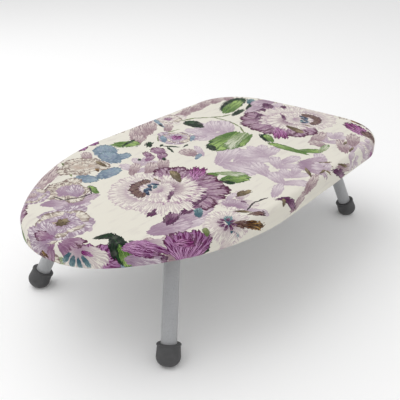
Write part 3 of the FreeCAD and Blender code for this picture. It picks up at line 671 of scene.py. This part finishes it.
def paint(nodes, along, across, edge, kind, cloth):
    """Colour of the petal on top, from its local place and its kind."""
    index = nodes.math("DIVIDE", nodes.math("ADD", kind, 0.5), float(len(KINDS)))
    palette = list(KINDS.values())
    base, tip, streak, rim = (nodes.table(index, [rgb(*entry[column]) for entry in palette])[0]
                              for column in range(4))
    amounts, fade = nodes.table(index, [entry[4] for entry in palette])
    streaks, rims, veins = nodes.add("SeparateColor", amounts).outputs[:3]
    height = nodes.math("MULTIPLY_ADD", along, 0.5, 0.5, clamp=True)

    # Brush streaks run from base to tip and spread as the petal widens.
    spread = nodes.math("DIVIDE", across, nodes.math("ADD", height, 0.35))
    stroke = nodes.join(along, spread, kind)
    brush = nodes.noise(stroke, (1.1, 6.5, 3.7))
    hatch = nodes.noise(stroke, (1.8, 13.0, 5.3), 1.0)
    lifted = nodes.math("ADD", height, nodes.times(nodes.math("SUBTRACT", brush, 0.5), 0.9))
    colour = nodes.mix(nodes.step(nodes.math("SUBTRACT", lifted, fade), -0.28, 0.28), base, tip)
    dark = nodes.math("MAXIMUM", nodes.step(brush, 0.5, 0.6), nodes.step(hatch, 0.54, 0.6))
    colour = nodes.mix(nodes.times(dark, streaks), colour, streak)

    # Chevron veins and a midrib on leaves.
    rib = nodes.math("ABSOLUTE", across)
    slant = nodes.math("SUBTRACT", nodes.times(along, 5.0), nodes.times(rib, 3.0))
    chevron = nodes.step(nodes.math("PINGPONG", slant, 0.5), 0.4, 0.5)
    lines = nodes.math("MAXIMUM", chevron, nodes.step(rib, 0.07, 0.02))
    colour = nodes.mix(nodes.times(lines, nodes.times(veins, 0.7)), colour, tip)

    # Blue clusters are heads of small florets.
    florets = nodes.cells(cloth, 0.17, voronoi_dimensions="2D")
    is_blue = nodes.math("COMPARE", kind, float(KIND_NAMES.index("blue")), 0.3)
    floret = nodes.times(nodes.step(florets["Distance"], 0.55, 0.2), is_blue)
    tint = nodes.mix(nodes.noise(florets["Position"], 0.4, 0.0), rgb(92, 120, 128), rgb(172, 184, 198))
    colour = nodes.mix(nodes.times(floret, 0.75), colour, tint)

    # The rim of each petal is short strokes that run inwards.
    strokes = nodes.step(nodes.math("MULTIPLY_ADD", brush, 0.55, edge), 1.1, 1.22)
    band = nodes.times(nodes.times(strokes, rims), nodes.step(along, -0.35, 0.35))
    colour = nodes.mix(band, colour, rim)

    # A faint brushed veil lies over the plain ground.
    veil = nodes.step(nodes.noise(cloth, (0.03, 0.12, 1.0), 3.0), 0.5, 0.8)
    plain = nodes.times(veil, nodes.math("LESS_THAN", kind, 0.5))
    colour = nodes.mix(nodes.times(plain, 0.45), colour, rgb(196, 186, 184))

    # Uneven ink.
    blot = nodes.step(nodes.noise(cloth, 0.11), 0.45, 0.75)
    return nodes.mix(nodes.times(blot, 0.1), colour, rgb(224, 218, 209))


def printed_cloth():
    """Cotton sateen with a large floral print, a fine weave and a soft sheen."""
    material, nodes, inputs = new_material("printed_cloth")
    inputs["Specular IOR Level"].default_value = 0.16
    inputs["Sheen Weight"].default_value = 0.02
    inputs["Sheen Roughness"].default_value = 0.4
    cloth = nodes.attribute("cloth_mm")
    x, y, _ = nodes.split(cloth)
    around, inset, _ = nodes.split(nodes.attribute("hem_mm"))

    # The petals' outlines wander a little, as if drawn by hand.
    drawn = cloth
    for scale, detail, reach in ((0.09, 2.0, 5.0), (0.4, 1.0, 1.6)):
        sway = nodes.vector("SUBTRACT", nodes.noise(cloth, scale, detail, output=1), (0.5, 0.5, 0.5))
        drawn = nodes.vector("MULTIPLY_ADD", sway, (reach, reach, 0.0), drawn)
    jitter = nodes.times(nodes.noise(cloth, 0.16, 0.0), 3.0)
    drawn_x, drawn_y, _ = nodes.split(drawn)
    petals = add_petals(nodes, lay_out_print(), drawn_x, drawn_y, jitter)
    colour = paint(nodes, *petals, cloth)

    # White lock stitches hold the hem's casing, seen only underneath.
    stitch = nodes.math("LESS_THAN", nodes.math("FRACT", nodes.math("DIVIDE", around, STITCH)), 0.62)
    thread = nodes.times(nodes.math("COMPARE", inset, STITCH_INSET, 0.4), stitch)
    colour = nodes.mix(thread, colour, rgb(240, 238, 230))

    # A plain weave, uneven yarn, creases that run into the hem, and slack over the pad.
    warp = nodes.math("SINE", nodes.times(x, 2 * math.pi / THREAD))
    weft = nodes.math("SINE", nodes.times(y, 2 * math.pi / THREAD))
    yarn = nodes.noise(cloth, (0.25, 1.6, 1.0), 3.0)
    crease = nodes.noise(nodes.join(around, inset, 0.0), (0.28, 0.03, 1.0))
    crease = nodes.times(crease, nodes.step(inset, 5.0, 14.0))
    slack = nodes.noise(cloth, 0.02)
    height = 0.0
    for pattern, amount in ((nodes.times(warp, weft), 0.05), (yarn, 0.12), (thread, 0.3), (crease, 2.4),
                            (slack, 1.2)):
        height = nodes.math("MULTIPLY_ADD", pattern, amount, height)
    coat(nodes, inputs, colour, nodes.math("MULTIPLY_ADD", yarn, 0.22, 0.42), height, 0.7, 0.001)
    return material


# ------------------------------------------------------------------- other materials

def painted_steel(name, colour, roughness, peel, draw=0.0):
    """Paint or powder coat: orange peel, small specks and slightly uneven gloss."""
    material, nodes, inputs = new_material(name)
    place = nodes.place()
    cloud = nodes.noise(place, 0.03, 3.0)
    speck = nodes.step(nodes.noise(place, 1.8, 1.0), 0.62, 0.72)
    drawn = nodes.step(nodes.noise(place, (1.3, 1.3, 0.03)), 0.45, 0.7)
    skin = nodes.noise(place, 0.9)

    def tint(share):
        return rgb(*(share * level for level in colour))

    shade = nodes.mix(cloud, tint(0.95), tint(1.04))
    shade = nodes.mix(nodes.times(drawn, draw), shade, tint(0.86))
    shade = nodes.mix(nodes.times(speck, 0.25), shade, tint(1.12))
    gloss = nodes.math("MULTIPLY_ADD", skin, 0.16, roughness - 0.08)
    coat(nodes, inputs, shade, gloss, skin, peel, 0.0004)
    return material


def moulded_rubber():
    """Dark rubber with a faint mould texture, paler where it rubs and dusty near the floor."""
    material, nodes, inputs = new_material("moulded_rubber")
    place = nodes.place()
    grain = nodes.noise(place, 2.2, 3.0)
    blotch = nodes.noise(place, 0.12, 3.0)
    _, _, height = nodes.split(place)
    dust = nodes.times(nodes.step(height, 9.0, 0.5), nodes.step(blotch, 0.3, 0.8))
    shade = nodes.mix(blotch, rgb(62, 62, 63), rgb(82, 82, 83))
    shade = nodes.mix(nodes.times(nodes.step(grain, 0.55, 0.75), 0.4), shade, rgb(104, 104, 104))
    shade = nodes.mix(nodes.times(dust, 0.45), shade, rgb(140, 138, 134))
    coat(nodes, inputs, shade, nodes.math("MULTIPLY_ADD", grain, 0.3, 0.5), grain, 0.35, 0.0004)
    return material


def bright_metal():
    """Bare rivet metal with short turning marks."""
    material, nodes, inputs = new_material("bright_rivet", metallic=1.0)
    marks = nodes.noise(nodes.place(), (3.0, 0.6, 3.0), 3.0)
    shade = nodes.mix(marks, rgb(176, 178, 182), rgb(222, 223, 226))
    coat(nodes, inputs, shade, nodes.math("MULTIPLY_ADD", marks, 0.3, 0.2), marks, 0.2, 0.0002)
    return material


def natural_nylon():
    """Milky nylon with faint flow marks."""
    material, nodes, inputs = new_material("natural_nylon")
    flow = nodes.noise(nodes.vector("MULTIPLY", nodes.place(), (0.3, 1.0, 0.3)), 0.6, 3.0)
    shade = nodes.mix(flow, rgb(206, 204, 192), rgb(230, 229, 220))
    coat(nodes, inputs, shade, nodes.math("MULTIPLY_ADD", flow, 0.25, 0.32), flow, 0.15, 0.0003)
    return material


def open_cell_foam():
    """Pale foam: rounded cells of a millimetre or so, with painted shade in their pits."""
    material, nodes, inputs = new_material("open_cell_foam")
    place = nodes.place()
    cells = nodes.cells(place, 1.1)["Distance"]
    shade = nodes.mix(nodes.noise(place, 0.05), rgb(224, 216, 190), rgb(236, 230, 210))
    # Painted shade: the pits at the cells' middles, where the bump sinks, are coloured darker as if shaded.
    shade = nodes.mix(nodes.step(cells, 0.55, 0.1), shade, rgb(168, 158, 128))
    coat(nodes, inputs, shade, 0.95, cells, 0.6, 0.0006)
    return material


def knitted_elastic():
    """White elastic: ribs across the band, a fuzz of fine fibres, and painted shade in the grooves between
    the ribs.
    """
    material, nodes, inputs = new_material("knitted_elastic")
    around, inset, _ = nodes.split(nodes.attribute("hem_mm"))
    ribs = nodes.math("PINGPONG", nodes.math("DIVIDE", around, 1.4), 0.5)
    fuzz = nodes.noise(nodes.join(around, inset, 0.0), 4.0)
    height = nodes.math("MULTIPLY_ADD", fuzz, 0.3, ribs)
    # Painted shade: the grooves between the ribs, low in the bump, are coloured darker than the crests.
    shade = nodes.mix(nodes.step(ribs, 0.0, 0.3), rgb(188, 186, 178), rgb(238, 237, 232))
    coat(nodes, inputs, shade, 0.8, height, 0.6, 0.0006)
    return material


def dress(material, *names):
    """Give CAD nodes a finer material."""
    for name in names:
        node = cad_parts[name]
        if not node.data.materials:
            node.data.materials.append(None)
        for slot in node.material_slots:
            slot.link = "OBJECT"
            slot.material = material


# ---------------------------------------------------------------------- cloth meshes

def plan_points(count):
    """Evenly spaced points and outward normals round the covered board, mirror-symmetric in y."""
    half_length = BOARD_LENGTH / 2
    half_width = BOARD_WIDTH / 2
    nose_x = NOSE_RADIUS - half_length
    bow_x = half_length - TAIL_BOW_RADIUS
    run = STRAIGHT_START_X - nose_x
    side = (run ** 2 + half_width ** 2 - NOSE_RADIUS ** 2) / (2 * (half_width - NOSE_RADIUS))
    side_y = half_width - side
    nose_angle = math.atan2(-side_y, nose_x - STRAIGHT_START_X)
    corner_y = half_width - TAIL_CORNER_RADIUS
    corner_x = bow_x + math.sqrt((TAIL_BOW_RADIUS - TAIL_CORNER_RADIUS) ** 2 - corner_y ** 2)
    tail_angle = math.atan2(corner_y, corner_x - bow_x)
    quarter = math.pi / 2
    # Each stretch: centre x, centre y, radius, first angle, last angle; a straight has no radius.
    stretches = (
        (bow_x, 0.0, TAIL_BOW_RADIUS, 0.0, tail_angle),
        (corner_x, corner_y, TAIL_CORNER_RADIUS, tail_angle, quarter),
        (corner_x, half_width, None, corner_x, STRAIGHT_START_X),
        (STRAIGHT_START_X, side_y, side, quarter, nose_angle),
        (nose_x, 0.0, NOSE_RADIUS, nose_angle, math.pi),
    )
    lengths = [abs(last - first) * (radius or 1.0) for _, _, radius, first, last in stretches]
    total = sum(lengths)
    points = []
    normals = []
    half = count // 2
    for number in range(half + 1):
        left = total * number / half
        for (x, y, radius, first, last), length in zip(stretches, lengths):
            if left <= length + 1e-12:
                break
            left -= length
        share = left / length
        value = first + (last - first) * share
        if radius is None:
            points.append((value, y))
            normals.append((0.0, 1.0))
        else:
            points.append((x + radius * math.cos(value), y + radius * math.sin(value)))
            normals.append((math.cos(value), math.sin(value)))
    points = np.array(points)
    normals = np.array(normals)
    points[[0, -1], 1] = 0.0
    flip = np.array((1.0, -1.0))
    points = np.vstack((points, points[-2:0:-1] * flip))
    normals = np.vstack((normals, normals[-2:0:-1] * flip))
    return points, normals, 2 * total


def mesh_from_rings(name, rings, layers=None, close=False):
    """Quads between rings of equal length; a ring that is folded flat on the middle line is welded.

    Layers are named lists of ring coordinates in metres, kept on the points in millimetres.
    """
    count = len(rings[0])
    vertices = np.vstack(rings)
    faces = []
    bands = len(rings) if close else len(rings) - 1
    for ring in range(bands):
        here = ring * count
        there = ((ring + 1) % len(rings)) * count
        for number in range(count):
            following = (number + 1) % count
            faces.append((here + number, here + following, there + following, there + number))
    mesh = bpy.data.meshes.new(name)
    mesh.from_pydata(vertices.tolist(), [], faces)
    for label, values in (layers or {}).items():
        layer = mesh.attributes.new(label, "FLOAT_VECTOR", "POINT")
        layer.data.foreach_set("vector", (np.vstack(values) * 1000.0).ravel())
    work = bmesh.new()
    work.from_mesh(mesh)
    bmesh.ops.remove_doubles(work, verts=work.verts, dist=0.00001)
    bmesh.ops.dissolve_degenerate(work, dist=0.000005, edges=work.edges)
    bmesh.ops.recalc_face_normals(work, faces=work.faces)
    work.to_mesh(mesh)
    work.free()
    mesh.shade_smooth()
    piece = bpy.data.objects.new(name, mesh)
    bpy.context.scene.collection.objects.link(piece)
    return piece


class Skin:
    """Rings of points that follow the board's plan, with their places on the flat cloth."""

    def __init__(self, columns):
        self.points, self.normals, self.around = plan_points(columns)
        self.distance = np.arange(columns) * self.around / columns
        self.rings = []
        self.cloth = []
        self.hem = []

    def wave(self, *counts):
        """A smooth uneven wave round the board, from about -1 to 1."""
        total = np.zeros_like(self.distance)
        for number, count in enumerate(counts):
            total += np.sin(self.distance * 2 * math.pi * count / self.around + 1.7 * number * number)
        return total / len(counts)

    def add(self, plan, height, cloth, inset=0.0):
        count = len(plan)
        self.rings.append(np.column_stack((plan, np.broadcast_to(height, count))))
        self.cloth.append(np.column_stack((cloth, np.zeros(count))))
        self.hem.append(np.column_stack((self.distance, np.broadcast_to(inset, count), np.zeros(count))))

    def inset(self, amount):
        """The plan moved inwards; the amount may differ round the board."""
        return self.points - self.normals * np.reshape(amount, (-1, 1))

    def fill_top(self, edge_inset, height, steps, swell=0.0, outwards=True):
        """Rings from the middle line to an inset of the plan, or back again, with soft swells."""
        edge = self.inset(edge_inset)
        spine = np.column_stack((np.clip(edge[:, 0], *SPINE), np.zeros(len(edge))))
        for share in np.linspace(0.0, 1.0, steps)[::1 if outwards else -1]:
            spot = spine + (edge - spine) * share
            wave = np.sin(spot[:, 0] * 47 + spot[:, 1] * 21) + np.sin(spot[:, 1] * 63 - spot[:, 0] * 18)
            self.add(spot, height + swell * wave, spot)

    def make(self, name, close=False):
        return mesh_from_rings(name, self.rings, {"cloth_mm": self.cloth, "hem_mm": self.hem}, close)


def make_cover(material):
    """The fitted cover: flat top, rolled edge, side, gathered return and a rolled hem."""
    skin = Skin(COLUMNS)
    gathers = skin.wave(*GATHERS)
    drape = skin.wave(*DRAPE)
    skin.fill_top(TOP_EDGE_RADIUS, TOP_Z - TOP_SINK, 30, swell=0.00015)
    flat = skin.inset(TOP_EDGE_RADIUS)
    run = 0.0
    last = (TOP_EDGE_RADIUS, TOP_Z)

    def lay(inset, height, gathered, under=False):
        """One ring below the top: gathers move it in and out, and up and down."""
        nonlocal run, last
        run += math.hypot(inset - last[0], height - last[1])
        last = (inset, height)
        push = inset - 0.0002 * drape - gathered * GATHER_DEPTH * gathers
        lift = gathered * GATHER_LIFT * np.roll(gathers, 2)
        skin.add(skin.inset(push), height + lift, flat + skin.normals * run, inset if under else 0.0)

    for angle in np.radians(np.linspace(10, 90, 9)):
        lay(TOP_EDGE_RADIUS * (1 - math.sin(angle)), TOP_Z - TOP_EDGE_RADIUS * (1 - math.cos(angle)), 0.0)
    side_top = TOP_Z - TOP_EDGE_RADIUS
    side_low = BOTTOM_Z + BOTTOM_EDGE_RADIUS
    for share in np.linspace(0.14, 1.0, 7):
        lay(0.0, side_top + (side_low - side_top) * share, 0.12 * share)
    for angle in np.radians(np.linspace(18, 90, 5)):
        lay(BOTTOM_EDGE_RADIUS * (1 - math.cos(angle)), side_low - BOTTOM_EDGE_RADIUS * math.sin(angle),
            0.12 + 0.1 * angle)
    for share in np.linspace(0.1, 0.9, 9):
        lay(BOTTOM_EDGE_RADIUS + (HEM_INSET - BOTTOM_EDGE_RADIUS) * share, BOTTOM_Z + HEM_LIFT * share,
            0.3 + 0.7 * share, under=True)
    for angle in np.radians(np.linspace(-90, 190, 15)):
        lay(HEM_INSET + HEM_RADIUS * math.cos(angle), HEM_Z + HEM_RADIUS * math.sin(angle), 1.0, under=True)
    piece = skin.make("fitted_cover")
    thickness = piece.modifiers.new("thickness", "SOLIDIFY")
    thickness.thickness = CLOTH_THICKNESS
    thickness.offset = -1.0
    piece.data.materials.append(material)
    return piece


def make_elastic(material):
    """The flat elastic band in the hem: a closed loop that follows the hem's gathers."""
    skin = Skin(COLUMNS)
    gathers = skin.wave(*GATHERS)
    for angle in np.radians(np.arange(0, 360, 30)):
        inset = HEM_INSET + 0.0011 * math.cos(angle)
        push = inset - GATHER_DEPTH * gathers
        height = HEM_Z + 0.0013 * math.sin(angle) + GATHER_LIFT * np.roll(gathers, 2)
        skin.add(skin.inset(push), height, skin.inset(push), inset)
    piece = skin.make("elastic_band", close=True)
    piece.data.materials.append(material)
    return piece


def make_foam(material):
    """The foam pad: a sheet over the deck whose rounded edge comes down outside the rim."""
    low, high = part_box("foam_pad")
    deck_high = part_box("deck_mesh")[1].z
    outer_inset = low.x + BOARD_LENGTH / 2
    inner_inset = outer_inset + FOAM_SKIRT
    radius = TOP_EDGE_RADIUS - outer_inset
    under_z = deck_high + 0.0003
    skin = Skin(COLUMNS // 2)
    dents = skin.wave(61, 37, 17)

    def lay(inset, height):
        skin.add(skin.inset(inset + 0.0002 * (dents + 1)), height, skin.inset(inset))

    skin.fill_top(TOP_EDGE_RADIUS, high.z - 0.0004, 16, swell=0.0001)
    for angle in np.radians(np.linspace(15, 90, 6)):
        lay(outer_inset + radius * (1 - math.sin(angle)), high.z - 0.0004 - radius * (1 - math.cos(angle)))
    for height in np.linspace(high.z - radius - 0.003, low.z + 0.001, 3):
        lay(outer_inset, height)
    lay(outer_inset + 0.001, low.z)
    lay(inner_inset - 0.0012, low.z)
    for height in np.linspace(low.z + 0.001, under_z - 0.001, 4):
        lay(inner_inset - 0.0004, height)
    skin.fill_top(inner_inset + 0.0008, under_z, 12, outwards=False)
    piece = skin.make("foam_sheet")
    piece.data.materials.append(material)
    return piece


add_camera()
add_stage()

cover = make_cover(printed_cloth())
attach(cover, "board")
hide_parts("cover")

elastic = make_elastic(knitted_elastic())
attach(elastic, "board")
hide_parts("hem_elastic")

foam = make_foam(open_cell_foam())
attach(foam, "board")
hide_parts("foam_pad")

dress(painted_steel("leg_paint", (168, 169, 171), roughness=0.42, peel=0.12, draw=0.5),
      *(f"{end}_leg_frame" for end in ENDS))
dress(painted_steel("deck_powder_coat", (160, 162, 165), roughness=0.5, peel=0.3), "deck_mesh", "rim_frame")
dress(painted_steel("bracket_powder_coat", (152, 154, 157), roughness=0.48, peel=0.35),
      *(f"cross_channel_{end}" for end in ENDS),
      *(f"{kind}_{end}_{hand}" for kind in ("pivot_saddle", "leg_stop") for end in ENDS for hand in HANDS))
dress(moulded_rubber(), *(f"foot_{end}_{hand}" for end in ENDS for hand in HANDS))
dress(natural_nylon(), *(f"pivot_bush_{end}_{hand}" for end in ENDS for hand in HANDS))
dress(bright_metal(), *(f"{kind}_rivets_{end}" for kind in ("saddle", "stop") for end in ENDS))
